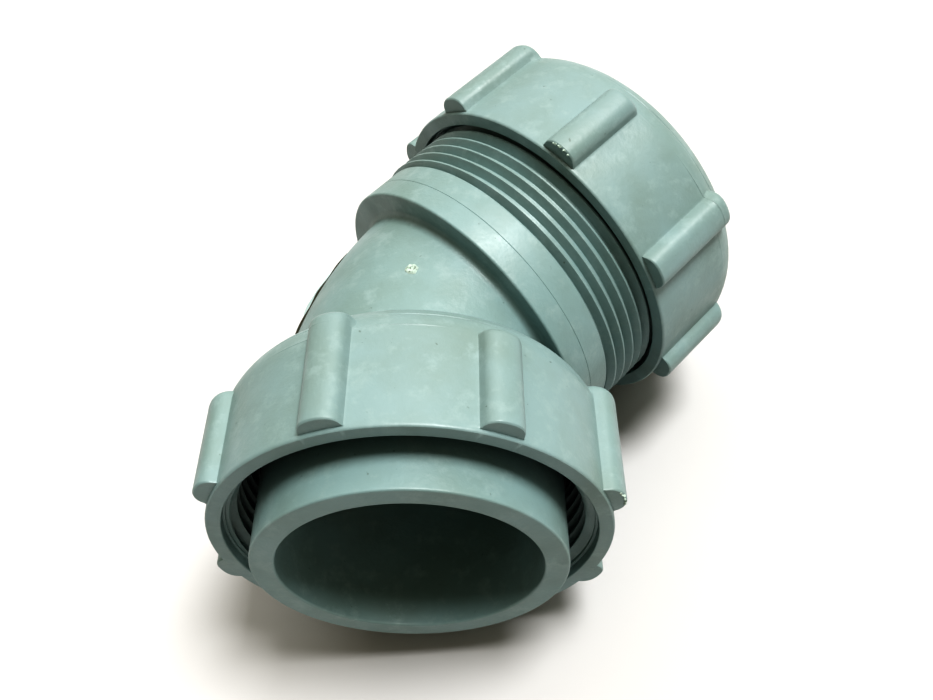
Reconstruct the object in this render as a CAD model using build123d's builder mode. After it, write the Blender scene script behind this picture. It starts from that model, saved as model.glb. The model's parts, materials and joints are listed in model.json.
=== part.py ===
"""A 45 degree elbow for 48.3 mm pressure pipe, with a compression coupling nut on each end.

One end is a plain spigot of the pipe's own size, which goes into the threaded socket of the next
fitting.  The other end is a threaded socket that takes a pipe.  Each end carries a ribbed nut, a
flat friction washer and a tapered rubber seal.

The origin is the centre of the spigot's mouth.  The spigot points along -Y, and the socket leaves
the bend at 45 degrees to +Y in the XY plane.  All sizes are in millimetres.
"""

import math
import os

from build123d import *

# Pipe, waterway and bend
pipe_od = 48.3
bore_r = 20.3
bend_angle = 45.0
bend_radius = 38.6
bend_outer_r = 23.3
bend_tangent = bend_radius * math.tan(math.radians(bend_angle / 2))

# Spigot, measured from the bend centre, with its insertion mark
spigot_r = pipe_od / 2
spigot_mouth = 41.2
spigot_shoulder = 12.4
spigot_edge = 0.3
mark_start = 26.3
mark_end = 26.9
mark_r = 23.75

# Socket, measured from the bend centre along its own axis
collar_start = 10.5
collar_end = 19.0
collar_r = 27.6
collar_fillet = 1.2
socket_mouth = 33.6
socket_stop = 14.5
socket_r = 24.3
seat_depth = 2.4
seat_mouth_r = 25.7

# Coupling thread, 11 turns to the inch, 55 degrees
thread_pitch = 25.4 / 11
flank_slope = math.tan(math.radians(27.5))
male_crest_r = 28.1
male_root_r = 26.65
female_crest_r = 27.0
female_root_r = 28.45
crest_flat = 0.4
root_bite = 0.15
ridge_trim = 1.0
lead_in = 0.85
male_lead_in = 2.4
collar_bite = 0.2
thread_gap = 0.3
spare_turns = 2

# Coupling nut, measured from its open rim
nut_length = 24.2
nut_outer_r = 31.3
nut_rim_edge = 0.35
recess_r = 28.85
recess_depth = 1.6
thread_end = 16.0
cavity_r = 26.95
cavity_depth = 21.0
nut_hole_r = 24.7
shoulder_start = 16.0
shoulder_radius = 8.5

# Grip ribs
rib_count = 8
rib_width = 6.3
rib_top_r = 33.9
rib_foot_r = 30.2
rib_round = 2.5
rib_end_round = 1.4
rib_start = 0.6
rib_ends = (19.5, 17.0)

# Sealing parts, measured from the nut's open rim
washer_start = 18.9
washer_end = 20.9
washer_inner_r = 24.45
washer_outer_r = 26.65
seal_start = 9.9
seal_inner_r = 24.35
seal_nose_r = 24.6
seal_outer_r = 26.4
seal_slope = (seat_mouth_r - socket_r) / seat_depth

# Where the nuts stand, as the distance of each rim from the bend centre
spigot_nut_rim = 35.9
socket_nut_rim = 29.6
spigot_nut_turn = -10.3
socket_nut_turn = 64.5

os.makedirs("parts", exist_ok=True)

bend_centre = Vector(0, spigot_mouth, 0)
spigot_dir = Vector(0, -1, 0)
socket_dir = Vector(math.sin(math.radians(bend_angle)), math.cos(math.radians(bend_angle)), 0)
up = Vector(0, 0, 1)


def on_spigot(distance):
    """The point on the spigot's axis at this distance from the bend centre."""
    return bend_centre + spigot_dir * distance


def on_socket(distance):
    """The point on the socket's axis at this distance from the bend centre."""
    return bend_centre + socket_dir * distance


def turned_plane(plane, angle):
    """The same plane, with its x direction turned about its own normal."""
    x_dir = plane.x_dir.rotate(Axis((0, 0, 0), plane.z_dir), angle)
    return Plane(origin=plane.origin, x_dir=x_dir, z_dir=plane.z_dir)


def profile_plane(end_plane):
    """The plane of a turned profile: x is the radius, y runs along the end plane's normal."""
    across = end_plane.x_dir.cross(end_plane.z_dir)
    return Plane(origin=end_plane.origin, x_dir=end_plane.x_dir, z_dir=across)


def turned_axis(end_plane):
    """The axis that a profile drawn on profile_plane turns about."""
    return Axis(end_plane.origin, end_plane.z_dir)


def thread_ridge(end_plane, first, turns, root_r, crest_r, envelope):
    """A helical ridge on end_plane's axis, cut back to the turned outline in envelope.

    The ridge starts at the height first, and its foot reaches a little way into the wall.
    """
    depth = abs(crest_r - root_r)
    outward = math.copysign(1, crest_r - root_r)
    half_foot = crest_flat / 2 + (depth + root_bite) * flank_slope
    foot = -outward * root_bite
    with BuildPart() as ridge:
        with BuildLine() as helix:
            Helix(
                pitch=thread_pitch,
                height=thread_pitch * turns,
                radius=root_r,
                center=end_plane.origin + end_plane.z_dir * first,
                direction=end_plane.z_dir,
            )
        start = helix.line @ 0
        along_axis = end_plane.z_dir * (start - end_plane.origin).dot(end_plane.z_dir)
        radial = start - end_plane.origin - along_axis
        with BuildSketch(Plane(origin=start, x_dir=radial, z_dir=helix.line % 0)):
            Polygon(
                (foot, -half_foot),
                (outward * depth, -crest_flat / 2),
                (outward * depth, crest_flat / 2),
                (foot, half_foot),
                align=None,
            )
        sweep(path=helix.line, is_frenet=True)
        with BuildSketch(profile_plane(end_plane)):
            Polygon(*envelope, align=None)
        revolve(axis=turned_axis(end_plane), mode=Mode.INTERSECT)
    return ridge.part


def coupling_nut(rim_plane, thread_first):
    """A ribbed nut whose open rim lies on rim_plane and whose closed end is along its normal."""
    ridge = thread_ridge(
        rim_plane,
        thread_first,
        math.ceil(thread_end / thread_pitch) + spare_turns,
        female_root_r,
        female_crest_r,
        [
            (recess_r - lead_in, recess_depth + thread_gap),
            (female_crest_r - ridge_trim, recess_depth + thread_gap + lead_in),
            (female_crest_r - ridge_trim, thread_end - thread_gap),
            (female_root_r + ridge_trim, thread_end - thread_gap),
            (female_root_r + ridge_trim, recess_depth + thread_gap),
        ],
    )
    ribs = []
    for index in range(rib_count):
        foot_plane = turned_plane(rim_plane, 360 / rib_count * index).offset(rib_start)
        ribs.append(grip_rib(foot_plane, rib_ends[index % 2] - rib_start))
    end_drop = shoulder_radius - math.sqrt(shoulder_radius**2 - (nut_length - shoulder_start) ** 2)
    arc_centre = (nut_outer_r - shoulder_radius, shoulder_start)
    end_angle = math.degrees(math.asin((nut_length - shoulder_start) / shoulder_radius))
    with BuildPart() as nut:
        with BuildSketch(profile_plane(rim_plane)):
            with BuildLine():
                shoulder = CenterArc(arc_centre, shoulder_radius, 0, end_angle)
                Polyline(
                    (nut_outer_r - end_drop, nut_length),
                    (nut_hole_r, nut_length),
                    (nut_hole_r, cavity_depth),
                    (cavity_r, cavity_depth),
                    (cavity_r, thread_end),
                    (female_root_r, thread_end),
                    (female_root_r, recess_depth),
                    (recess_r, recess_depth),
                    (recess_r, 0),
                    (nut_outer_r - nut_rim_edge, 0),
                    (nut_outer_r, nut_rim_edge),
                    (nut_outer_r, shoulder_start),
                )
            make_face()
        revolve(axis=turned_axis(rim_plane))
        add(ribs)
        add(ridge)
    return nut.part


def grip_rib(foot_plane, length):
    """One grip rib, standing out along foot_plane's x, with its far top edge rounded."""
    height = rib_top_r - rib_foot_r
    with BuildPart() as rib:
        with BuildSketch(foot_plane) as section:
            with Locations((rib_foot_r + height / 2, 0)):
                Rectangle(height, rib_width)
            fillet(section.vertices().group_by(Axis.X)[-1], rib_round)
        extrude(amount=length)
        far_face = rib.faces().sort_by(Axis((0, 0, 0), foot_plane.z_dir))[-1]
        top_edges = far_face.edges().group_by(Axis((0, 0, 0), foot_plane.x_dir))[1:]
        fillet([edge for group in top_edges for edge in group], rib_end_round)
    return rib.part


def turned_ring(end_plane, outline):
    """A ring turned about end_plane's axis from an outline of (radius, height) points."""
    with BuildPart() as ring:
        with BuildSketch(profile_plane(end_plane)):
            Polygon(*outline, align=None)
        revolve(axis=turned_axis(end_plane))
    return ring.part


def friction_washer(rim_plane):
    """The flat washer that lets the nut turn without twisting the seal."""
    return turned_ring(
        rim_plane,
        [
            (washer_inner_r, washer_start),
            (washer_outer_r, washer_start),
            (washer_outer_r, washer_end),
            (washer_inner_r, washer_end),
        ],
    )


def pipe_seal(rim_plane):
    """The tapered rubber ring that the nut presses into the next fitting's mouth."""
    cone_end = seal_start + (seal_outer_r - seal_nose_r) / seal_slope
    return turned_ring(
        rim_plane,
        [
            (seal_inner_r, seal_start),
            (seal_nose_r, seal_start),
            (seal_outer_r, cone_end),
            (seal_outer_r, washer_start),
            (seal_inner_r, washer_start),
        ],
    )


# Elbow body: swept bend, spigot, collar, threaded socket and waterway
collar_plane = Plane(origin=on_socket(collar_start), x_dir=up, z_dir=socket_dir)
thread_root_plane = Plane(origin=on_socket(collar_end), x_dir=up, z_dir=socket_dir)
bend_centre_plane = Plane(origin=bend_centre, x_dir=up, z_dir=socket_dir)
mouth_plane = Plane(origin=on_spigot(spigot_mouth), x_dir=(1, 0, 0), z_dir=-spigot_dir)

male_first = collar_end - thread_pitch
male_ridge = thread_ridge(
    bend_centre_plane,
    male_first,
    math.ceil((socket_mouth - collar_end) / thread_pitch) + spare_turns,
    male_root_r,
    male_crest_r,
    [
        (male_root_r - ridge_trim, collar_end - collar_bite),
        (male_crest_r + ridge_trim, collar_end - collar_bite),
        (male_crest_r + ridge_trim, socket_mouth - male_lead_in),
        (male_root_r, socket_mouth - thread_gap),
        (male_root_r - ridge_trim, socket_mouth - thread_gap),
    ],
)

with BuildPart() as elbow_body:
    with BuildLine() as centreline:
        Polyline(on_spigot(spigot_mouth), on_spigot(bend_tangent))
        TangentArc(on_spigot(bend_tangent), on_socket(bend_tangent), tangent=-spigot_dir)
    with BuildSketch(mouth_plane):
        Circle(bend_outer_r)
    sweep(path=centreline.line)
    with BuildSketch(collar_plane):
        Circle(collar_r)
    extrude(amount=collar_end - collar_start)
    # Along the socket's axis the collar's far end comes last, then its rim, then its foot
    collar_foot = elbow_body.faces().sort_by(Axis(bend_centre, socket_dir))[-3]
    fillet(collar_foot.edges().sort_by(SortBy.LENGTH)[0], collar_fillet)
    with BuildSketch(mouth_plane):
        Circle(spigot_r)
    extrude(amount=spigot_mouth - spigot_shoulder)
    with BuildSketch(Plane(origin=on_spigot(mark_end), x_dir=(1, 0, 0), z_dir=-spigot_dir)):
        Circle(spigot_r + spigot_edge)
        Circle(mark_r, mode=Mode.SUBTRACT)
    extrude(amount=mark_end - mark_start, mode=Mode.SUBTRACT)
    with BuildSketch(thread_root_plane):
        Circle(male_root_r)
    extrude(amount=socket_mouth - collar_end)
    add(male_ridge)
    with BuildSketch(mouth_plane):
        Circle(bore_r)
    sweep(path=centreline.line, mode=Mode.SUBTRACT)
    with BuildSketch(profile_plane(bend_centre_plane)):
        Polygon(
            (0, socket_stop),
            (socket_r, socket_stop),
            (socket_r, socket_mouth - seat_depth),
            (seat_mouth_r, socket_mouth),
            (0, socket_mouth),
            align=None,
        )
    revolve(axis=turned_axis(bend_centre_plane), mode=Mode.SUBTRACT)
    mouth_edges = elbow_body.faces().sort_by(Axis.Y)[0].edges()
    chamfer(mouth_edges, spigot_edge)
elbow_body.part.label = "elbow_body"
export_step(elbow_body.part, "parts/elbow_body.step")

# Spigot end: nut, washer and seal
spigot_rim = Plane(origin=on_spigot(spigot_nut_rim), x_dir=(1, 0, 0), z_dir=-spigot_dir)
spigot_rim = turned_plane(spigot_rim, spigot_nut_turn)
spigot_nut = coupling_nut(spigot_rim, -thread_pitch / 2)
spigot_nut.label = "spigot_nut"
export_step(spigot_nut, "parts/spigot_nut.step")

spigot_washer = friction_washer(spigot_rim)
spigot_washer.label = "spigot_washer"
export_step(spigot_washer, "parts/spigot_washer.step")

spigot_seal = pipe_seal(spigot_rim)
spigot_seal.label = "spigot_seal"
export_step(spigot_seal, "parts/spigot_seal.step")

# Socket end: nut in mesh with the body's thread, washer and seal
socket_x = up.cross(socket_dir)
socket_rim = Plane(origin=on_socket(socket_nut_rim), x_dir=socket_x, z_dir=socket_dir)
socket_rim = turned_plane(socket_rim, socket_nut_turn)
mesh_turns = math.floor((socket_nut_rim - male_first) / thread_pitch)
mesh_first = male_first + (mesh_turns - 0.5) * thread_pitch - socket_nut_rim
socket_nut = coupling_nut(socket_rim, mesh_first)
socket_nut.label = "socket_nut"
export_step(socket_nut, "parts/socket_nut.step")

socket_washer = friction_washer(socket_rim)
socket_washer.label = "socket_washer"
export_step(socket_washer, "parts/socket_washer.step")

socket_seal = pipe_seal(socket_rim)
socket_seal.label = "socket_seal"
export_step(socket_seal, "parts/socket_seal.step")
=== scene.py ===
"""Visual model of a 45 degree PVC pipe elbow with a ribbed compression nut on each end.

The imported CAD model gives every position: the spigot's and socket's axes come from its mounts, and
the pieces are modelled around them.  Sizes are in millimetres and are scaled to metres where the
vertices are placed.  Each sub-assembly is a class that builds its own meshes, and each finish is a
small class that makes one procedural material.
"""

import json
import logging
import math
from dataclasses import dataclass
from enum import Enum
from typing import Any, Callable

import bmesh
import bpy
from mathutils import Matrix, Vector, noise


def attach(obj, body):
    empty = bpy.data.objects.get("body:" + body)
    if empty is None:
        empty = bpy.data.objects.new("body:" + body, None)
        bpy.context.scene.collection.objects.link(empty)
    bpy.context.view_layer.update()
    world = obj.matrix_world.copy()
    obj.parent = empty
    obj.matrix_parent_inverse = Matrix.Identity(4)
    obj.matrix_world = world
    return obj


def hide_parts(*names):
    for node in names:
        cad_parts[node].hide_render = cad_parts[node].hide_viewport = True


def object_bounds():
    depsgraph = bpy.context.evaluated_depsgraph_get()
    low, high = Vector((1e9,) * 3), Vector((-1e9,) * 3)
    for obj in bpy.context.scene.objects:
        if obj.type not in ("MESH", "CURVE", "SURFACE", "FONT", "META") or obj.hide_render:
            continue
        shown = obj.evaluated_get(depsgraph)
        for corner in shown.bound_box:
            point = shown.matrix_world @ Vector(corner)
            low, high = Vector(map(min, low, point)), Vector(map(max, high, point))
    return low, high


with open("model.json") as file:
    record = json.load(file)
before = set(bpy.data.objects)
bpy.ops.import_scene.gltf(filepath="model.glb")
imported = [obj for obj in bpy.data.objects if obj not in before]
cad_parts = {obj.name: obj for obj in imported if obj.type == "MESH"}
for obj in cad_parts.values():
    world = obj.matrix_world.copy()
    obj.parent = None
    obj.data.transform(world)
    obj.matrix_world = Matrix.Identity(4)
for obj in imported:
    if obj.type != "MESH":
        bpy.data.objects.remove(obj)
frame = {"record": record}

CAD_LOW, CAD_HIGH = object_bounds()
MM = 0.001
SHARP_ANGLE = math.radians(34)
ROUND_STEPS = 4
TURNED_FACETS = 128
log = logging.getLogger("elbow")

Place = Callable[[Any], Vector]


class End(Enum):
    """The two ends of the fitting."""

    SPIGOT = "spigot"
    SOCKET = "socket"


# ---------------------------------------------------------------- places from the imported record


def mount(name: str) -> tuple[Vector, Vector]:
    """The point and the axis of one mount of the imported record."""
    found = next(m for m in frame["record"]["mounts"] if m["name"] == name)
    return Vector(found["pos_m"]), Vector(found["axis"]).normalized()


def frame_at(origin: Vector, side: Vector, along: Vector) -> Matrix:
    """The frame with this origin whose X is side and whose Z is along."""
    turn = Matrix((side, along.cross(side), along)).transposed()
    return Matrix.Translation(origin) @ turn.to_4x4()


class BendPath:
    """The fitting's centre line: the spigot's axis, the bend's arc and the socket's axis.

    Travel along it is in millimetres, negative on the spigot's side of the bend's middle.
    """

    def __init__(self, bend_radius: float) -> None:
        spigot_point, spigot_out = mount("spigot")
        socket_point, socket_out = mount("socket")
        across = socket_out - spigot_out * socket_out.dot(spigot_out)
        reach = (socket_point - spigot_point).dot(across) / across.dot(across)
        self.centre = socket_point - socket_out * reach
        self.out = {End.SPIGOT: spigot_out, End.SOCKET: socket_out}
        self.up = Vector((0, 0, 1))
        self.angle = socket_out.angle(-spigot_out)
        self.radius = bend_radius
        self.tangent = bend_radius * math.tan(self.angle / 2)

    def straight(self, end: End, distance: float, inward: bool = False) -> Matrix:
        """The frame on one end's straight axis.

        Args:
            end: which end's axis.
            distance: millimetres from the bend's centre.
            inward: whether Z points back towards the bend.

        Returns:
            The frame, with X upwards and Z along the axis.
        """
        along = -self.out[end] if inward else self.out[end]
        return frame_at(self.centre + self.out[end] * distance * MM, self.up, along)

    def frame(self, travel: float) -> Matrix:
        """The frame at this travel, with X upwards and Z towards the socket's mouth."""
        if travel <= -self.tangent:
            return self.straight(End.SPIGOT, -travel, inward=True)
        if travel >= self.tangent:
            return self.straight(End.SOCKET, travel)
        start = self.straight(End.SPIGOT, self.tangent, inward=True)
        swing = self.angle * (travel + self.tangent) / (2 * self.tangent)
        pivot = Matrix.Translation((0, self.radius * MM, 0))
        return start @ pivot @ Matrix.Rotation(-swing, 4, "X") @ pivot.inverted()

    def travel_to(self, angle: float, radius: float, distance: float) -> float:
        """The travel at which a line on the bent tube meets a plane square to the socket's axis.

        Args:
            angle: where the line stands round the tube.
            radius: the tube's radius in millimetres.
            distance: the plane's distance from the bend's centre in millimetres.

        Returns:
            The travel in millimetres.
        """
        travel = distance
        for _ in range(8):
            point = self.frame(travel) @ ring_point(angle, radius, 0)
            travel += distance - (point - self.centre).dot(self.out[End.SOCKET]) / MM
        return travel


def ring_point(angle: float, radius: float, height: float) -> Vector:
    """A point of a ring about Z, in metres, from a radius and height in millimetres."""
    return Vector((radius * math.cos(angle), radius * math.sin(angle), height)) * MM


# ---------------------------------------------------------------- outlines and shells


@dataclass(frozen=True)
class Corner:
    """One corner of a turned outline, in millimetres."""

    height: float
    radius: float
    rounding: float = 0.0


def rounded(corners: list[Corner]) -> list[tuple[float, float]]:
    """The outline through these corners, with the rounded ones eased.

    Args:
        corners: the outline's corners in order.

    Returns:
        Points of (height, radius).
    """
    points = []
    for index, corner in enumerate(corners):
        here = Vector((corner.height, corner.radius))
        if corner.rounding == 0:
            points.append(tuple(here))
            continue
        before, after = (
            here + (Vector((other.height, other.radius)) - here).normalized() * corner.rounding
            for other in (corners[index - 1], corners[(index + 1) % len(corners)])
        )
        for step in range(ROUND_STEPS + 1):
            t = step / ROUND_STEPS
            points.append(tuple(before * (1 - t) ** 2 + here * 2 * t * (1 - t) + after * t**2))
    return points


class RingShell:
    """A surface grown ring by ring, each ring extruded from the one before it."""

    def __init__(self, keys: list[Any], place: Place) -> None:
        """Start with one ring.

        Args:
            keys: what each vertex of a ring is placed by, in order round the ring.
            place: gives a key's position.
        """
        self.keys = keys
        self.mesh = bmesh.new()
        made = bmesh.ops.create_circle(self.mesh, segments=len(keys), radius=1)
        self.ring = made["verts"]
        self.edges = self.mesh.edges[:]
        self.first = place
        self._put(place)

    def _put(self, place: Place) -> None:
        for vert, key in zip(self.ring, self.keys):
            vert.co = place(key)

    def grow(self, place: Place) -> None:
        """Extrude the last ring to the positions that place gives."""
        made = bmesh.ops.extrude_edge_only(self.mesh, edges=self.edges)["geom"]
        fresh = {v for v in made if isinstance(v, bmesh.types.BMVert)}
        self.edges = [
            e for e in made
            if isinstance(e, bmesh.types.BMEdge) and e.verts[0] in fresh and e.verts[1] in fresh
        ]
        self.ring = [
            next(e.other_vert(v) for e in v.link_edges if e.other_vert(v) in fresh)
            for v in self.ring
        ]
        self._put(place)

    def close(self) -> bmesh.types.BMesh:
        """Bring the last ring back to the first and weld them."""
        self.grow(self.first)
        return welded(self.mesh)

    def cap(self) -> bmesh.types.BMesh:
        """Close both ends of the shell with faces."""
        open_edges = [e for e in self.mesh.edges if e.is_boundary]
        bmesh.ops.holes_fill(self.mesh, edges=open_edges, sides=len(self.keys))
        return welded(self.mesh)


def welded(mesh: bmesh.types.BMesh) -> bmesh.types.BMesh:
    """The mesh with its doubles merged and its normals outwards."""
    bmesh.ops.remove_doubles(mesh, verts=mesh.verts[:], dist=0.0005 * MM)
    bmesh.ops.recalc_face_normals(mesh, faces=mesh.faces[:])
    return mesh


def turned(place: Matrix, corners: list[Corner]) -> bmesh.types.BMesh:
    """A closed ring turned about the frame's Z axis.

    Args:
        place: the frame that the corners' heights are measured in.
        corners: the outline's corners.

    Returns:
        The ring's mesh.
    """
    outline = rounded(corners)
    mesh = bmesh.new()
    made = bmesh.ops.create_circle(mesh, segments=len(outline), radius=1)
    for vert, (height, radius) in zip(made["verts"], outline):
        vert.co = Vector((radius, 0, height)) * MM
    bmesh.ops.spin(
        mesh, geom=mesh.verts[:] + mesh.edges[:], cent=(0, 0, 0), axis=(0, 0, 1),
        angle=math.tau, steps=TURNED_FACETS, use_merge=True,
    )
    bmesh.ops.transform(mesh, matrix=place, verts=mesh.verts[:])
    return welded(mesh)


@dataclass(frozen=True)
class ThreadSize:
    """A parallel pipe thread of 11 turns to the inch, in millimetres."""

    pitch: float = 25.4 / 11
    crest_flat: float = 0.4
    flank_angle: float = math.radians(27.5)
    bite: float = 0.2
    steps: int = 72
    male_root: float = 26.65
    male_crest: float = 28.1
    female_root: float = 28.45
    female_crest: float = 27.0


def thread_ridge(
    place: Matrix, size: ThreadSize, root: float, crest: float,
    phase: float, low: float, high: float, limit: Callable[[float, float], float],
) -> bmesh.types.BMesh:
    """A right-hand helical ridge about the frame's Z axis, cut off square at both ends.

    Args:
        place: the frame that heights are measured in.
        size: the thread's form.
        root: the radius of the wall that the ridge stands on.
        crest: the radius of its crest.
        phase: the height of the ridge's middle on the frame's X side, give or take whole turns.
        low: the height that the ridge starts at.
        high: the height that it ends at.
        limit: eases a vertex's radius at a height, to lead the thread in.

    Returns:
        The ridge's mesh.
    """
    out = math.copysign(1, crest - root)
    foot_half = size.crest_flat / 2 + (abs(crest - root) + size.bite) * math.tan(size.flank_angle)
    below = math.ceil((low - phase) / size.pitch) - 1
    start = phase + (below - 1) * size.pitch
    turns = math.ceil((high - start) / size.pitch) + 1
    ease = size.crest_flat * 0.35
    outline = [
        (root - out * size.bite, -foot_half),
        (crest - out * ease, -size.crest_flat / 2 - ease * 0.5),
        (crest, -size.crest_flat / 2 + ease * 0.4),
        (crest, size.crest_flat / 2 - ease * 0.4),
        (crest - out * ease, size.crest_flat / 2 + ease * 0.5),
        (root - out * size.bite, foot_half),
    ]
    mesh = bmesh.new()
    made = bmesh.ops.create_circle(mesh, segments=len(outline), radius=1)
    for vert, (radius, height) in zip(made["verts"], outline):
        vert.co = Vector((radius, 0, start + height)) * MM
    bmesh.ops.spin(
        mesh, geom=mesh.verts[:] + mesh.edges[:], cent=(0, 0, 0), axis=(0, 0, 1),
        dvec=(0, 0, size.pitch * MM / size.steps), angle=math.tau * turns,
        steps=size.steps * turns,
    )
    for height, way in ((low, -1), (high, 1)):
        cut = bmesh.ops.bisect_plane(
            mesh, geom=mesh.verts[:] + mesh.edges[:] + mesh.faces[:],
            plane_co=(0, 0, height * MM), plane_no=(0, 0, way), clear_outer=True,
        )["geom_cut"]
        edges = [e for e in cut if isinstance(e, bmesh.types.BMEdge)]
        bmesh.ops.holes_fill(mesh, edges=edges)
    for vert in mesh.verts:
        radius = vert.co.xy.length
        eased = limit(vert.co.z / MM, radius / MM) * MM
        vert.co.xy *= eased / radius
    bmesh.ops.transform(mesh, matrix=place, verts=mesh.verts[:])
    bmesh.ops.recalc_face_normals(mesh, faces=mesh.faces[:])
    return mesh


def make_piece(
    name: str, parts: list[bmesh.types.BMesh], body: str, finish: bpy.types.Material
) -> bpy.types.Object:
    """One object made of these meshes, dressed and riding on a CAD body.

    Args:
        name: the object's name.
        parts: its meshes, which are used up.
        body: the CAD body that it moves with.
        finish: its material.

    Returns:
        The object, at the origin, unrotated and unscaled.
    """
    whole = bmesh.new()
    for part in parts:
        loose = bpy.data.meshes.new(name)
        part.to_mesh(loose)
        part.free()
        whole.from_mesh(loose)
        bpy.data.meshes.remove(loose)
    for face in whole.faces:
        face.smooth = True
    for edge in whole.edges:
        edge.smooth = len(edge.link_faces) != 2 or edge.calc_face_angle() < SHARP_ANGLE
    data = bpy.data.meshes.new(name)
    whole.to_mesh(data)
    whole.free()
    data.materials.append(finish)
    piece = bpy.data.objects.new(name, data)
    bpy.context.scene.collection.objects.link(piece)
    normals = piece.modifiers.new("even_normals", "WEIGHTED_NORMAL")
    normals.keep_sharp = True
    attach(piece, body)
    log.info("%s: %d faces on %s", name, len(data.polygons), body)
    return piece


# ---------------------------------------------------------------- finishes


def map_range(nodes: Any, low: float, high: float, dark: float, light: float) -> Any:
    """A node that maps low and high to dark and light, and holds its value outside them."""
    node = nodes.new("ShaderNodeMapRange")
    for name, number in zip(("From Min", "From Max", "To Min", "To Max"), (low, high, dark, light)):
        node.inputs[name].default_value = number
    return node


class NodeTree:
    """A short way of laying out one material's nodes."""

    def __init__(self, name: str) -> None:
        self.material = bpy.data.materials.new(name)
        self.material.use_nodes = True
        self.nodes = self.material.node_tree.nodes
        self.links = self.material.node_tree.links
        self.shader = self.nodes["Principled BSDF"]
        self.coords = self.nodes.new("ShaderNodeTexCoord").outputs["Object"]

    def noise(self, per_metre: float, detail: float, rough: float = 0.5) -> Any:
        """A noise's value at this scale, from 0 to 1."""
        node = self.nodes.new("ShaderNodeTexNoise")
        node.inputs["Scale"].default_value = per_metre
        node.inputs["Detail"].default_value = detail
        node.inputs["Roughness"].default_value = rough
        self.links.new(self.coords, node.inputs["Vector"])
        return node.outputs["Fac"]

    def ramp(self, value: Any, low: float, high: float, dark: float, light: float) -> Any:
        """The value mapped from low and high to dark and light, and held outside them."""
        node = map_range(self.nodes, low, high, dark, light)
        self.links.new(value, node.inputs["Value"])
        return node.outputs["Result"]

    def mix(self, factor: Any, first: Any, second: Any) -> Any:
        """A colour mixed from two colours or sockets."""
        node = self.nodes.new("ShaderNodeMix")
        node.data_type = "RGBA"
        self.links.new(factor, node.inputs["Factor"])
        for name, colour in (("A", first), ("B", second)):
            socket = next(s for s in node.inputs if s.name == name and s.type == "RGBA")
            if isinstance(colour, tuple):
                socket.default_value = (*colour, 1)
            else:
                self.links.new(colour, socket)
        return next(s for s in node.outputs if s.type == "RGBA")

    def bump(self, height: Any, distance: float, strength: float, below: Any = None) -> Any:
        """A bumped normal, on top of another one if it is given."""
        node = self.nodes.new("ShaderNodeBump")
        node.inputs["Strength"].default_value = strength
        node.inputs["Distance"].default_value = distance
        self.links.new(height, node.inputs["Height"])
        if below is not None:
            self.links.new(below, node.inputs["Normal"])
        return node.outputs["Normal"]


@dataclass(frozen=True)
class MouldedPvc:
    """Matt grey-green PVC, a little mottled, with handling dirt and a fine moulded grain."""

    name: str
    tone: tuple[float, float, float] = (0.222, 0.312, 0.312)
    shade: tuple[float, float, float] = (0.192, 0.262, 0.246)
    scuff: tuple[float, float, float] = (0.264, 0.346, 0.342)
    dark_marks: tuple[float, float, float] = (0.060, 0.085, 0.060)
    roughness: float = 0.40

    def make(self) -> bpy.types.Material:
        """Build the material."""
        tree = NodeTree(self.name)
        cloud = tree.ramp(tree.noise(60, 4, 0.6), 0.38, 0.68, 0, 0.9)
        colour = tree.mix(cloud, self.tone, self.shade)
        scuffs = tree.ramp(tree.noise(260, 5, 0.7), 0.52, 0.68, 0, 0.7)
        colour = tree.mix(scuffs, colour, self.scuff)
        specks = tree.ramp(tree.noise(760, 3, 0.55), 0.72, 0.78, 0, 0.55)
        colour = tree.mix(specks, colour, self.dark_marks)
        tree.links.new(colour, tree.shader.inputs["Base Color"])
        sheen = tree.ramp(tree.noise(160, 4), 0.3, 0.7, self.roughness - 0.05, self.roughness + 0.1)
        tree.links.new(sheen, tree.shader.inputs["Roughness"])
        waves = tree.bump(tree.noise(150, 3), 0.0004, 0.35)
        grain = tree.bump(tree.noise(1500, 4, 0.6), 0.00009, 0.5, waves)
        tree.links.new(grain, tree.shader.inputs["Normal"])
        return tree.material


@dataclass(frozen=True)
class TornPvc:
    """Stretched, paler PVC where a gate or flash was torn off."""

    name: str = "torn_pvc"
    tone: tuple[float, float, float] = (0.44, 0.53, 0.47)
    pit: tuple[float, float, float] = (0.055, 0.075, 0.050)

    def make(self) -> bpy.types.Material:
        """Build the material."""
        tree = NodeTree(self.name)
        patches = tree.ramp(tree.noise(1700, 3), 0.48, 0.64, 0, 0.85)
        colour = tree.mix(patches, self.tone, self.pit)
        tree.links.new(colour, tree.shader.inputs["Base Color"])
        tree.shader.inputs["Roughness"].default_value = 0.6
        return tree.material


@dataclass(frozen=True)
class DarkStrip:
    """A near-black, rough finish for the strip along the flash's upper side."""

    name: str = "dark_strip"
    tone: tuple[float, float, float] = (0.030, 0.030, 0.018)

    def make(self) -> bpy.types.Material:
        """Build the material."""
        tree = NodeTree(self.name)
        tree.shader.inputs["Base Color"].default_value = (*self.tone, 1)
        tree.shader.inputs["Roughness"].default_value = 0.9
        return tree.material


@dataclass(frozen=True)
class SlipPlastic:
    """Waxy white polyethylene."""

    name: str = "slip_polyethylene"
    tone: tuple[float, float, float] = (0.66, 0.66, 0.60)
    roughness: float = 0.38

    def make(self) -> bpy.types.Material:
        """Build the material."""
        tree = NodeTree(self.name)
        tree.shader.inputs["Base Color"].default_value = (*self.tone, 1)
        tree.shader.inputs["Roughness"].default_value = self.roughness
        tree.shader.inputs["Subsurface Weight"].default_value = 0.15
        tree.shader.inputs["Subsurface Scale"].default_value = 0.001
        grain = tree.bump(tree.noise(900, 2), 0.00005, 0.3)
        tree.links.new(grain, tree.shader.inputs["Normal"])
        return tree.material


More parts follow.
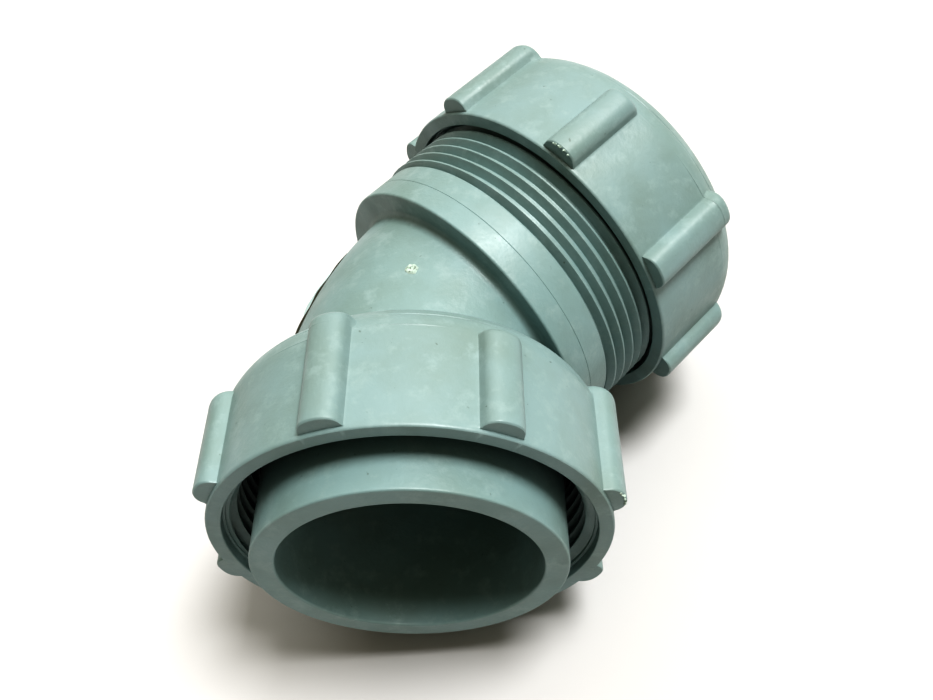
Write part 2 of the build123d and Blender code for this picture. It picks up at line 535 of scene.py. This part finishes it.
@dataclass(frozen=True)
class SealRubber:
    """Black moulded rubber with a dusty bloom."""

    name: str = "seal_rubber"
    tone: tuple[float, float, float] = (0.014, 0.014, 0.015)
    bloom: tuple[float, float, float] = (0.05, 0.05, 0.048)

    def make(self) -> bpy.types.Material:
        """Build the material."""
        tree = NodeTree(self.name)
        dusty = tree.ramp(tree.noise(220, 4), 0.4, 0.7, 0, 1)
        colour = tree.mix(dusty, self.tone, self.bloom)
        tree.links.new(colour, tree.shader.inputs["Base Color"])
        tree.shader.inputs["Roughness"].default_value = 0.62
        return tree.material


@dataclass(frozen=True)
class StudioFloor:
    """A plain pale table top."""

    name: str = "studio_floor"
    tone: tuple[float, float, float] = (0.52, 0.515, 0.515)

    def make(self) -> bpy.types.Material:
        """Build the material."""
        tree = NodeTree(self.name)
        tree.shader.inputs["Base Color"].default_value = (*self.tone, 1)
        tree.shader.inputs["Roughness"].default_value = 0.9
        return tree.material


# ---------------------------------------------------------------- the elbow's body


@dataclass(frozen=True)
class BodySize:
    """The elbow's body.  Distances are from the bend's centre, in millimetres."""

    bend_radius: float = 38.6
    bore: float = 20.3
    bend_wall: float = 23.3
    spigot_wall: float = 24.15
    spigot_mouth: float = 41.2
    spigot_shoulder: float = 12.4
    mark_start: float = 26.3
    mark_end: float = 26.9
    mark_wall: float = 23.75
    mark_round: float = 0.1
    edge_round: float = 0.4
    collar_start: float = 10.5
    collar_end: float = 19.0
    collar_wall: float = 27.6
    collar_fillet: float = 1.2
    collar_round: float = 0.5
    parting: float = 14.7
    parting_width: float = 0.16
    parting_depth: float = 0.07
    socket_mouth: float = 33.6
    socket_bore: float = 24.3
    socket_stop: float = 14.5
    seat_depth: float = 2.4
    seat_wall: float = 25.7
    lead_in: float = 2.4
    thread_gap: float = 0.3
    collar_bite: float = 0.1
    segments: int = 144
    bend_rings: int = 18
    fillet_rings: int = 5


@dataclass(frozen=True)
class ScarSize:
    """What moulding left on the bend, in millimetres, radians and shares.

    Attributes:
        seam_lean: how far above the bend's plane the flash starts and ends.
        seam_travel: where along the centre line it starts and ends.
        seam_rise: its greatest height before it wanders.
        seam_steps: how many lengths it is made of.
        strip_shift: how far above the flash the near-black strip lies.
        strip_low: the strip's least height.
        strip_rise: how much higher it is where it is thickest.
        gate_travel: where along the centre line the gate's stub stands.
        gate_lean: how far it leans from the top of the bend.
        gate_rings: the stub's outline, as (radius, height).
        gate_facets: how many corners each of its rings has.
    """

    seam_lean: tuple[float, float] = (math.radians(27.8), math.radians(38.8))
    seam_travel: tuple[float, float] = (-10.5, 6.0)
    seam_rise: float = 0.6
    seam_steps: int = 60
    strip_shift: float = 0.36
    strip_low: float = 0.05
    strip_rise: float = 0.5
    gate_travel: float = 0.76
    gate_lean: float = math.radians(1.9)
    gate_rings: tuple[tuple[float, float], ...] = (
        (1.15, -0.15), (0.98, 0.1), (0.68, 0.26), (0.46, 0.2), (0.24, 0.06)
    )
    gate_facets: int = 20


class ElbowBody:
    """The bent tube with its spigot, collar, threaded socket and waterway."""

    def __init__(self, path: BendPath, size: BodySize, thread: ThreadSize) -> None:
        self.path = path
        self.size = size
        self.scars = ScarSize()
        self.thread = thread

    def on_socket(self, distance: float, radius: float) -> Place:
        """Places a ring round the socket's axis."""
        place = self.path.straight(End.SOCKET, 0)
        return lambda angle: place @ ring_point(angle, radius, distance)

    def on_path(self, travel: float, radius: float) -> Place:
        """Places a ring round the centre line."""
        place = self.path.frame(travel)
        return lambda angle: place @ ring_point(angle, radius, 0)

    def on_bend(self, radius: float, start: float, plane: float, share: float) -> Place:
        """Places a ring part of the way from a travel to a plane square to the socket's axis."""

        def place(angle: float) -> Vector:
            end = self.path.travel_to(angle, radius, plane)
            travel = start + (end - start) * share
            return self.path.frame(travel) @ ring_point(angle, radius, 0)

        return place

    def on_fillet(self, share: float) -> Place:
        """Places a ring of the rounded corner where the bend runs into the collar."""
        size = self.size
        foot = self.on_bend(size.bend_wall, 0, size.collar_start - size.collar_fillet, 1)
        socket = self.path.straight(End.SOCKET, 0)
        back = socket.inverted()
        swing = share * math.pi / 2

        def place(angle: float) -> Vector:
            point = back @ foot(angle)
            wider = 1 + size.collar_fillet * MM * (1 - math.cos(swing)) / point.xy.length
            point.xy *= wider
            point.z += size.collar_fillet * MM * math.sin(swing)
            return socket @ point

        return place

    def outer_rings(self) -> list[Place]:
        """The rings from the spigot's mouth over the outside to the socket's mouth."""
        size = self.size
        spigot = rounded([
            Corner(-size.spigot_mouth, size.bore, size.edge_round),
            Corner(-size.spigot_mouth, size.spigot_wall, size.edge_round),
            Corner(-size.mark_end, size.spigot_wall, size.mark_round),
            Corner(-size.mark_end, size.mark_wall, size.mark_round),
            Corner(-size.mark_start, size.mark_wall, size.mark_round),
            Corner(-size.mark_start, size.spigot_wall, size.mark_round),
            Corner(-self.path.tangent, size.spigot_wall),
        ])
        rings = [self.on_path(*point) for point in spigot[1:]]
        rings.append(self.on_path(-size.spigot_shoulder - 0.9, size.spigot_wall))
        plane = size.collar_start - size.collar_fillet
        for step in range(size.bend_rings + 1):
            share = step / size.bend_rings
            rings.append(self.on_bend(size.bend_wall, -size.spigot_shoulder, plane, share))
        steps = size.fillet_rings
        rings += [self.on_fillet(step / steps) for step in range(1, steps + 1)]
        half = size.parting_width / 2
        collar = rounded([
            Corner(size.collar_start, size.bend_wall),
            Corner(size.collar_start, size.collar_wall, size.collar_round),
            Corner(size.parting - half, size.collar_wall),
            Corner(size.parting, size.collar_wall - size.parting_depth),
            Corner(size.parting + half, size.collar_wall),
            Corner(size.collar_end, size.collar_wall, size.collar_round * 0.8),
            Corner(size.collar_end, self.thread.male_root),
            Corner(size.socket_mouth, self.thread.male_root, size.edge_round / 2),
            Corner(size.socket_mouth, size.seat_wall, size.edge_round / 2),
            Corner(size.socket_mouth - size.seat_depth, size.socket_bore),
            Corner(size.socket_stop, size.socket_bore),
        ])
        return rings + [self.on_socket(*point) for point in collar[1:]]

    def waterway_rings(self) -> list[Place]:
        """The rings from the pipe stop back through the bend to the spigot's mouth."""
        size = self.size
        start = -self.path.tangent
        rings = [
            self.on_bend(size.bore, start, size.socket_stop, 1 - step / size.bend_rings)
            for step in range(size.bend_rings + 1)
        ]
        middle = (size.spigot_mouth + self.path.tangent) / 2
        return rings + [self.on_path(-middle, size.bore)]

    def shell(self) -> bmesh.types.BMesh:
        """The whole wall, outside and inside."""
        angles = [math.tau * step / self.size.segments for step in range(self.size.segments)]
        start = self.on_path(-self.size.spigot_mouth + self.size.edge_round, self.size.bore)
        shell = RingShell(angles, start)
        for place in self.outer_rings() + self.waterway_rings():
            shell.grow(place)
        return shell.close()

    def ridge(self, phase: float) -> bmesh.types.BMesh:
        """The socket's thread, eased into its root at the mouth."""
        size = self.size
        slope = (self.thread.male_crest - self.thread.male_root) / (size.lead_in - size.thread_gap)

        def limit(height: float, radius: float) -> float:
            ease = self.thread.male_crest - (height - size.socket_mouth + size.lead_in) * slope
            return min(radius, max(ease, self.thread.male_root - self.thread.bite))

        return thread_ridge(
            self.path.straight(End.SOCKET, 0), self.thread, self.thread.male_root,
            self.thread.male_crest, phase, size.collar_end - size.collar_bite,
            size.socket_mouth - size.thread_gap, limit,
        )

    def bend_strip(
        self, shift: float, keys: list[tuple[float, float]], rise: Callable[[float], float]
    ) -> bmesh.types.BMesh:
        """A thin strip along the outside of the bend.

        Args:
            shift: how far above the flash it runs, in millimetres.
            keys: its section as (along the wall, out of the wall), with out as a share of the rise.
            rise: its height in millimetres at a share of its length.

        Returns:
            The strip's mesh.
        """
        wall = self.size.bend_wall
        start, end = self.scars.seam_travel
        first, last = self.scars.seam_lean

        def placed(share: float) -> Place:
            travel = start + (end - start) * share
            lean = first + (last - first) * share + shift / wall
            place = self.path.frame(travel) @ Matrix.Rotation(lean - math.pi / 2, 4, "Z")
            height = rise(share)

            def put(key: tuple[float, float]) -> Vector:
                out = key[1] * height if key[1] > 0 else key[1]
                return place @ (Vector((wall + out, key[0], 0)) * MM)

            return put

        strip = RingShell(keys, placed(0))
        steps = self.scars.seam_steps
        for step in range(1, steps + 1):
            strip.grow(placed(step / steps))
        return strip.cap()

    def mould_line(self) -> bmesh.types.BMesh:
        """The thin torn flash along the outside of the bend."""

        def rise(share: float) -> float:
            taper = math.sin(math.pi * share) ** 0.5 if 0 < share < 1 else 0.0
            wave = noise.noise(Vector((share * 11, 0.3, 0)))
            return self.scars.seam_rise * taper * (0.7 + 0.6 * wave)

        keys = [(-0.2, -0.3), (0.2, -0.3), (0.1, 1.0), (-0.06, 1.0)]
        return self.bend_strip(0.0, keys, rise)

    def seam_dark_strip(self) -> bmesh.types.BMesh:
        """A near-black strip along the flash's upper side."""

        def rise(share: float) -> float:
            thick = max(0.0, 0.35 + noise.noise(Vector((share * 5, 2.3, 0))))
            return self.scars.strip_low + self.scars.strip_rise * thick * math.sin(math.pi * share)

        keys = [(-0.24, -0.2), (0.24, -0.2), (0.0, 1.0), (-0.24, 1.0)]
        return self.bend_strip(self.scars.strip_shift, keys, rise)

    def gate_scar(self) -> bmesh.types.BMesh:
        """The torn stub of the moulding gate on top of the bend."""
        scars = self.scars
        place = self.path.frame(scars.gate_travel) @ Matrix.Rotation(scars.gate_lean, 4, "Z")
        place = place @ Matrix.Translation((self.size.bend_wall * MM, 0, 0))
        place = place @ Matrix.Rotation(math.pi / 2, 4, "Y")
        keys = [math.tau * step / scars.gate_facets for step in range(scars.gate_facets)]

        def placed(radius: float, height: float) -> Place:
            def put(angle: float) -> Vector:
                wave = noise.noise(Vector((math.cos(angle) * 1.7, math.sin(angle) * 1.7, radius)))
                return place @ ring_point(angle, radius * (1 + 0.3 * wave), height * (1 + wave))

            return put

        stub = RingShell(keys, placed(*scars.gate_rings[0]))
        for ring in scars.gate_rings[1:]:
            stub.grow(placed(*ring))
        return stub.cap()

    def build(self, phase: float, looks: dict) -> None:
        """Make the body and its scars.

        Args:
            phase: the thread's phase on the socket's axis.
            looks: the finishes by material slot, and those of torn places and of the near-black strip.
        """
        plastic, torn, dark_marks = looks["pvc_body"], looks["torn"], looks["dark_marks"]
        parts = [self.shell(), self.ridge(phase), self.mould_line()]
        body = make_piece("elbow_moulding", parts, "elbow", plastic)
        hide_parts("elbow_body")
        make_piece("gate_scar", [self.gate_scar()], "elbow", torn)
        # A near-black strip laid along the flash's upper side.
        make_piece("seam_dark_strip", [self.seam_dark_strip()], "elbow", dark_marks)


# ---------------------------------------------------------------- the nuts


@dataclass(frozen=True)
class NutSize:
    """A coupling nut.  Heights are from its open rim, in millimetres."""

    length: float = 24.2
    wall: float = 31.3
    rim_round: float = 0.4
    recess: float = 28.85
    recess_depth: float = 1.6
    thread_end: float = 16.0
    cavity: float = 26.95
    cavity_depth: float = 21.0
    hole: float = 24.7
    shoulder_start: float = 16.0
    shoulder_radius: float = 8.5
    rib_count: int = 8
    rib_half: float = 3.15
    rib_rise: float = 2.55
    rib_squareness: float = 2.5
    rib_foot: float = 0.5
    rib_start: float = 0.6
    rib_end_round: float = 1.4
    rib_ends: tuple[float, float] = (19.5, 17.0)
    arc_steps: int = 9
    seams: tuple[tuple[float, float], ...] = ((17.2, 0.07), (19.95, -0.12))
    seam_width: float = 0.1


@dataclass(frozen=True)
class CrumbSize:
    """The row of crumbs on a frayed edge, in millimetres."""

    count: int = 7
    spacing: float = 0.5
    facets: int = 7
    foot: float = 0.24
    tip: float = 0.03


@dataclass(frozen=True)
class RimPoint:
    """One vertex of the nut's ring: a plain one at an angle, or one of a rib's section."""

    angle: float
    across: float = 0.0
    rise: float = 0.0
    rib: int = 0


class CouplingNut:
    """A ribbed nut with an internal thread."""

    def __init__(self, size: NutSize, thread: ThreadSize, rim: Matrix) -> None:
        self.size = size
        self.thread = thread
        self.rim = rim

    def rib_section(self) -> list[tuple[float, float]]:
        """Half of a rib's section as (across, rise), from its foot to its crown."""
        size = self.size
        points = [
            (size.rib_half + size.rib_foot, 0.0),
            (size.rib_half + size.rib_foot * 0.3, size.rib_foot * 0.25),
        ]
        for step in range(1, 9):
            swing = math.pi / 2 * step / 9
            across = size.rib_half * math.cos(swing) ** (2 / size.rib_squareness)
            points.append((across, size.rib_rise * math.sin(swing) ** (2 / size.rib_squareness)))
        return points

    def ring_keys(self) -> list[RimPoint]:
        """The vertices of every ring, in order."""
        size = self.size
        half = self.rib_section()
        section = half + [(0.0, size.rib_rise)] + [(-across, rise) for across, rise in half[::-1]]
        pitch = math.tau / size.rib_count
        foot = math.atan2(half[0][0], size.wall)
        keys = []
        for rib in range(size.rib_count):
            middle = rib * pitch
            keys += [RimPoint(middle, -across, rise, rib) for across, rise in section]
            for step in range(1, size.arc_steps):
                keys.append(RimPoint(middle + foot + (pitch - 2 * foot) * step / size.arc_steps))
        return keys

    def wall_at(self, height: float) -> float:
        """The plain wall's radius at a height."""
        size = self.size
        past = max(0.0, height - size.shoulder_start)
        drop = size.shoulder_radius - math.sqrt(size.shoulder_radius**2 - past**2)
        start = max(0.0, size.rim_round - height)
        return size.wall - drop - start**2 / size.rim_round * 0.6

    def sink_at(self, height: float, rib: int) -> float:
        """How far a rib's section has sunk below its full height."""
        size = self.size
        end = size.rib_ends[rib % 2]
        if height <= size.rib_start or height > end + 0.01:
            return 2 * size.shoulder_radius
        front = max(0.0, 0.35 - (height - size.rib_start))
        back = max(0.0, height - end + size.rib_end_round)
        round_off = size.rib_end_round - math.sqrt(max(0.0, size.rib_end_round**2 - back**2))
        return front**2 / 0.35 * 0.8 + round_off

    def on_ribs(self, height: float) -> Place:
        """Places a ring of the ribbed outside."""
        wall = self.wall_at(height)
        bead = sum(
            rise * math.exp(-(((height - seam) / self.size.seam_width) ** 2))
            for seam, rise in self.size.seams
        )

        def place(point: RimPoint) -> Vector:
            top = self.size.wall + point.rise - self.sink_at(height, point.rib)
            radius = max(wall, top) if point.rise else wall
            angle = point.angle + math.atan2(point.across, radius)
            if abs(bead) > 0.001:
                wave = noise.noise(Vector((math.cos(angle), math.sin(angle), height * 0.3)) * 4)
                radius += bead * max(0.0, 0.5 + 1.6 * wave)
            return self.rim @ ring_point(angle, radius, height)

        return place

    def on_turned(self, height: float, radius: float) -> Place:
        """Places a plain ring."""
        return lambda point: self.rim @ ring_point(
            point.angle + math.atan2(point.across, radius), radius, height
        )

    def outer_heights(self) -> list[float]:
        """The heights of the outside's rings."""
        size = self.size
        heights = [0.02, 0.1, 0.2, 0.4, size.rib_start]
        heights += [size.rib_start + step for step in (0.02, 0.08, 0.17, 0.27, 0.35)]
        heights += [4, 8, 12, 15]
        for end in size.rib_ends:
            heights += [end - size.rib_end_round * (1 - math.sin(math.pi / 2 * k / 6)) for k in range(7)]
            heights.append(end + 0.05)
        heights += [seam + 0.07 * step for seam, _ in size.seams for step in (-2, -1, 0, 1, 2)]
        heights += [18, 20.3, 21.2, 22.1, 23, 23.6, size.length - 0.25]
        return sorted(set(round(height, 4) for height in heights))

    def shell(self) -> bmesh.types.BMesh:
        """The nut's wall, outside and inside."""
        size = self.size
        shell = RingShell(self.ring_keys(), self.on_turned(0, size.wall - 0.25))
        for height in self.outer_heights():
            shell.grow(self.on_ribs(height))
        end_wall = self.wall_at(size.length) - 0.2
        inside = rounded([
            Corner(size.length, end_wall + 1),
            Corner(size.length, end_wall),
            Corner(size.length, size.hole, 0.35),
            Corner(size.cavity_depth, size.hole, 0.2),
            Corner(size.cavity_depth, size.cavity),
            Corner(size.thread_end, size.cavity),
            Corner(size.thread_end, self.thread.female_root),
            Corner(size.recess_depth, self.thread.female_root, 0.15),
            Corner(size.recess_depth, size.recess, 0.15),
            Corner(0, size.recess, 0.25),
            Corner(0, size.wall),
        ])
        for height, radius in inside[1:-1]:
            shell.grow(self.on_turned(height, radius))
        return shell.close()

    def ridge(self, phase: float) -> bmesh.types.BMesh:
        """The internal thread, eased away at the rim."""
        size = self.size
        low, high = size.recess_depth + 0.3, size.thread_end - 0.3

        def limit(height: float, radius: float) -> float:
            return max(radius, self.thread.female_root - 0.45 - (height - low) * 1.2)

        return thread_ridge(
            self.rim, self.thread, self.thread.female_root, self.thread.female_crest,
            phase, low, high, limit,
        )

    def fray(self, rib: int, at_rim: bool) -> list[bmesh.types.BMesh]:
        """The frayed crumbs of flash along the top edge of one end of a rib.

        Args:
            rib: which rib they hang on.
            at_rim: whether they are at the rim's end of it.

        Returns:
            The crumbs' meshes.
        """
        size, crumb = self.size, CrumbSize()
        height = size.rib_start + 0.15 if at_rim else size.rib_ends[rib % 2] - 0.5
        crown = size.wall + size.rib_rise - (0.25 if at_rim else 0.55)
        turn = Matrix.Rotation(math.tau * rib / size.rib_count, 4, "Z")
        crumbs = []
        for index in range(crumb.count):
            across = (index - (crumb.count - 1) / 2) * crumb.spacing
            wave = noise.noise(Vector((rib * 3.1, index * 1.7, height)))
            mesh = bmesh.new()
            bmesh.ops.create_cone(
                mesh, segments=crumb.facets, cap_ends=True,
                radius1=crumb.foot * MM, radius2=crumb.tip * MM,
                depth=(0.5 + 0.5 * abs(wave)) * MM,
            )
            lean = Matrix.Rotation(wave * 2.2, 4, "Y") @ Matrix.Rotation(wave * 3, 4, "X")
            drop = 0.12 * across * across
            shift = Matrix.Translation(Vector((crown - drop, across, height)) * MM)
            bmesh.ops.transform(mesh, matrix=self.rim @ turn @ shift @ lean, verts=mesh.verts[:])
            crumbs.append(mesh)
        return crumbs


# ---------------------------------------------------------------- washers and seals


@dataclass(frozen=True)
class GlandSize:
    """The washer and the seal inside a nut.  Heights are from its rim, in millimetres."""

    washer_start: float = 18.9
    washer_end: float = 20.9
    washer_hole: float = 24.45
    washer_wall: float = 26.65
    seal_start: float = 9.9
    seal_hole: float = 24.35
    nose_wall: float = 24.6
    seal_wall: float = 26.4
    cone_length: float = 3.1


class Gland:
    """The slip washer and the tapered seal that slide along the pipe inside a nut."""

    def __init__(self, size: GlandSize, rim: Matrix) -> None:
        self.size = size
        self.rim = rim

    def washer(self) -> bmesh.types.BMesh:
        """The flat washer."""
        size = self.size
        return turned(self.rim, [
            Corner(size.washer_start, size.washer_hole, 0.2),
            Corner(size.washer_start, size.washer_wall, 0.3),
            Corner(size.washer_end, size.washer_wall, 0.3),
            Corner(size.washer_end, size.washer_hole, 0.2),
        ])

    def seal(self) -> bmesh.types.BMesh:
        """The tapered ring."""
        size = self.size
        return turned(self.rim, [
            Corner(size.seal_start, size.seal_hole, 0.08),
            Corner(size.seal_start, size.nose_wall, 0.08),
            Corner(size.seal_start + size.cone_length, size.seal_wall, 0.4),
            Corner(size.washer_start - 0.02, size.seal_wall, 0.35),
            Corner(size.washer_start - 0.02, size.seal_hole, 0.2),
        ])


# ---------------------------------------------------------------- the two ends


@dataclass(frozen=True)
class EndSize:
    """Where an end's nut stands.

    Attributes:
        rim: the distance of its rim from the bend's centre, in millimetres.
        turn: the angle of its first rib from upwards, in degrees.
        rim_faces_out: whether the open rim looks away from the bend.
        frays: the rib of each torn edge, and whether it is at the rib's rim end.
    """

    rim: float
    turn: float
    rim_faces_out: bool
    frays: tuple[tuple[int, bool], ...]


class EndGroup:
    """One end's nut, washer and seal."""

    def __init__(self, end: End, size: EndSize, path: BendPath, thread: ThreadSize) -> None:
        self.end = end
        self.frays = size.frays
        rim = path.straight(end, size.rim, inward=size.rim_faces_out)
        self.rim = rim @ Matrix.Rotation(math.radians(size.turn), 4, "Z")
        self.turn = math.radians(size.turn)
        self.nut = CouplingNut(NutSize(), thread, self.rim)
        self.gland = Gland(GlandSize(), self.rim)

    def build(self, phase: float, looks: dict) -> None:
        """Make the three pieces.

        Args:
            phase: the nut thread's phase above its rim, before the nut is turned.
            looks: the finishes by material slot.
        """
        name = self.end.value
        turned_phase = phase + self.nut.thread.pitch * self.turn / math.tau
        parts = [self.nut.shell(), self.nut.ridge(turned_phase)]
        nut = make_piece(f"{name}_coupling", parts, f"{name}_nut", looks["pvc_nut"])
        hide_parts(f"{name}_nut")
        crumbs = [crumb for rib, at_rim in self.frays for crumb in self.nut.fray(rib, at_rim)]
        make_piece(f"{name}_nut_flash", crumbs, f"{name}_nut", looks["torn"])
        for part, mesh in (("washer", self.gland.washer()), ("seal", self.gland.seal())):
            slot = {"washer": "friction_washer", "seal": "seal_rubber"}[part]
            ring = make_piece(f"{name}_gland_{part}", [mesh], f"{name}_gland", looks[slot])
            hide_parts(f"{name}_{part}")


# ---------------------------------------------------------------- floor, camera and light


@dataclass(frozen=True)
class CameraPose:
    """Where the camera stands, in metres, and which way it looks."""

    at: tuple[float, float, float] = (0.03027, -0.06405, 0.13012)
    forward: tuple[float, float, float] = (-0.12688, 0.62546, -0.76987)
    up: tuple[float, float, float] = (0.1083, 0.7802, 0.6160)
    lens: float = 36.81


@dataclass(frozen=True)
class SoftBox:
    """A distant soft light.

    Attributes:
        name: its name.
        towards: the direction from the fitting to it.
        spread: how wide it looks from the fitting, in degrees.
        strength: its strength in watts per square metre.
    """

    name: str
    towards: tuple[float, float, float]
    spread: float
    strength: float


@dataclass(frozen=True)
class Sky:
    """The surrounding light, which fades away from its brightest side."""

    towards: tuple[float, float, float] = (0.1, 0.45, 0.88)
    fade: tuple[float, float] = (-0.5, 1)
    dark: float = 0.02
    bright: float = 0.40
    tint: tuple[float, float, float] = (1.0, 0.93, 0.74)


class Studio:
    """A pale floor, soft light from above and behind, and the camera."""

    floor_half = 40
    softboxes = (
        SoftBox("overhead", (0.20, 0.02, 0.55), 20, 2.6),
        SoftBox("behind", (0.05, 0.30, 0.50), 80, 0.8),
    )

    def __init__(self, pose: CameraPose) -> None:
        self.pose = pose

    def floor(self) -> None:
        """Lay the floor under the lowest point."""
        mesh = bmesh.new()
        bmesh.ops.create_grid(mesh, x_segments=1, y_segments=1, size=self.floor_half)
        level = Matrix.Translation((0, 0, CAD_LOW.z))
        bmesh.ops.transform(mesh, matrix=level, verts=mesh.verts[:])
        data = bpy.data.meshes.new("floor")
        mesh.to_mesh(data)
        mesh.free()
        data.materials.append(StudioFloor().make())
        floor = bpy.data.objects.new("floor", data)
        bpy.context.scene.collection.objects.link(floor)

    def softbox(self, box: SoftBox) -> None:
        """Set a distant soft light."""
        data = bpy.data.lights.new(box.name, "SUN")
        data.angle = math.radians(box.spread)
        data.energy = box.strength
        light = bpy.data.objects.new(box.name, data)
        light.rotation_mode = "QUATERNION"
        light.rotation_quaternion = (-Vector(box.towards)).to_track_quat("-Z", "Y")
        bpy.context.scene.collection.objects.link(light)

    def light(self) -> None:
        """Set the lamps and the surrounding light."""
        for box in self.softboxes:
            self.softbox(box)
        sky = Sky()
        world = bpy.data.worlds.new("studio")
        world.use_nodes = True
        nodes, links = world.node_tree.nodes, world.node_tree.links
        coords = nodes.new("ShaderNodeTexCoord")
        spread = nodes.new("ShaderNodeVectorMath")
        spread.operation = "DOT_PRODUCT"
        spread.inputs[1].default_value = sky.towards
        fade = map_range(nodes, *sky.fade, sky.dark, sky.bright)
        links.new(coords.outputs["Generated"], spread.inputs[0])
        links.new(spread.outputs["Value"], fade.inputs["Value"])
        back = nodes["Background"]
        back.inputs["Color"].default_value = (*sky.tint, 1)
        links.new(fade.outputs["Result"], back.inputs["Strength"])
        bpy.context.scene.world = world
        bpy.context.scene.view_settings.view_transform = "Standard"
        bpy.context.scene.view_settings.look = "Very High Contrast"

    def camera(self) -> None:
        """Stand the camera."""
        pose = self.pose
        data = bpy.data.cameras.new("camera")
        data.lens = pose.lens
        data.sensor_width = 36
        data.clip_start = 0.005
        data.clip_end = 20
        data.dof.use_dof = False
        camera = bpy.data.objects.new("camera", data)
        back = -Vector(pose.forward).normalized()
        right = Vector(pose.up).cross(back).normalized()
        camera.matrix_world = frame_at(Vector(pose.at), right, back)
        bpy.context.scene.collection.objects.link(camera)
        bpy.context.scene.camera = camera


def main() -> None:
    """Build the fitting and its studio."""
    logging.basicConfig(level=logging.INFO)
    looks = {
        "pvc_body": MouldedPvc("body_pvc").make(),
        "pvc_nut": MouldedPvc("nut_pvc", (0.226, 0.310, 0.312), (0.196, 0.262, 0.244)).make(),
        "friction_washer": SlipPlastic().make(),
        "seal_rubber": SealRubber().make(),
        "torn": TornPvc().make(),
        "dark_marks": DarkStrip().make(),
    }
    size, thread = BodySize(), ThreadSize()
    path = BendPath(size.bend_radius)
    male_phase = size.collar_end + thread.pitch / 2
    ElbowBody(path, size, thread).build(male_phase, looks)
    spigot = EndSize(rim=35.9, turn=79.7, rim_faces_out=True, frays=((0, True),))
    socket = EndSize(
        rim=29.6, turn=-25.5, rim_faces_out=False, frays=((1, True), (0, False), (2, False))
    )
    EndGroup(End.SPIGOT, spigot, path, thread).build(0.0, looks)
    # Half a pitch on, so that the nut's ridge runs in the socket's groove
    nut_phase = male_phase + thread.pitch / 2 - socket.rim
    EndGroup(End.SOCKET, socket, path, thread).build(nut_phase, looks)
    studio = Studio(CameraPose())
    studio.floor()
    studio.light()
    studio.camera()


if __name__ == "__main__":
    main()
